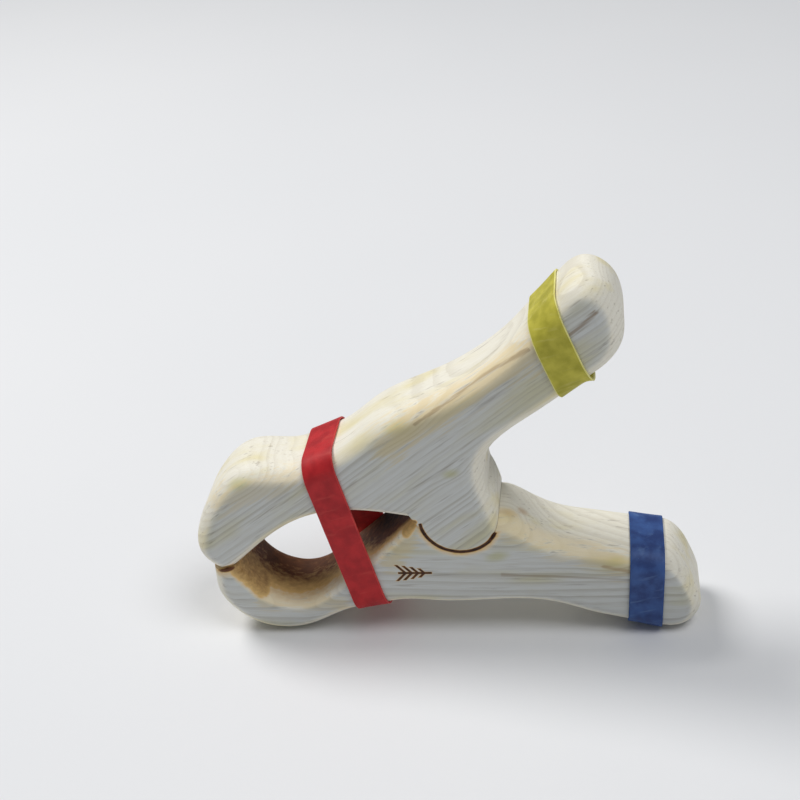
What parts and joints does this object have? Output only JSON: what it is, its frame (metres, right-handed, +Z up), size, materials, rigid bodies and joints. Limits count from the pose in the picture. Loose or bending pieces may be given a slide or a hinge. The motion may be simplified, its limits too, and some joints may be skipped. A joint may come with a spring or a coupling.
{
  "type": "clothespin",
  "caption": "Large carved pine clothespin whose knuckle rolls in an open seat and whose jaws are held shut by a flat rubber band.",
  "frame": {"origin": "middle of the footprint, on the surface the pin stands on", "axes": "+X along the pin from the jaws to the handles, +Z up, Y across the board with the marked side at -Y"},
  "size_m": [0.1126, 0.02, 0.0875],
  "materials": {
    "pine": "sanded",
    "red_rubber": "matte",
    "yellow_rubber": "matte",
    "blue_rubber": "matte"
  },
  "bodies": {
    "lower": {"lower_half": "pine", "lower_handle_band": "blue_rubber", "clamping_band": "red_rubber"},
    "upper": {"upper_half": "pine", "upper_handle_band": "yellow_rubber"}
  },
  "joints": [
    {"name": "jaw_hinge", "type": "hinge", "parent": "lower", "child": "upper", "pos_m": [0.00432, 0, 0.03218], "axis": [0, 1, 0], "range_deg": [0, 50], "stiffness_Nm_per_rad": 0.5, "springref_deg": -34.38, "deforming": ["clamping_band"]}
  ]
}
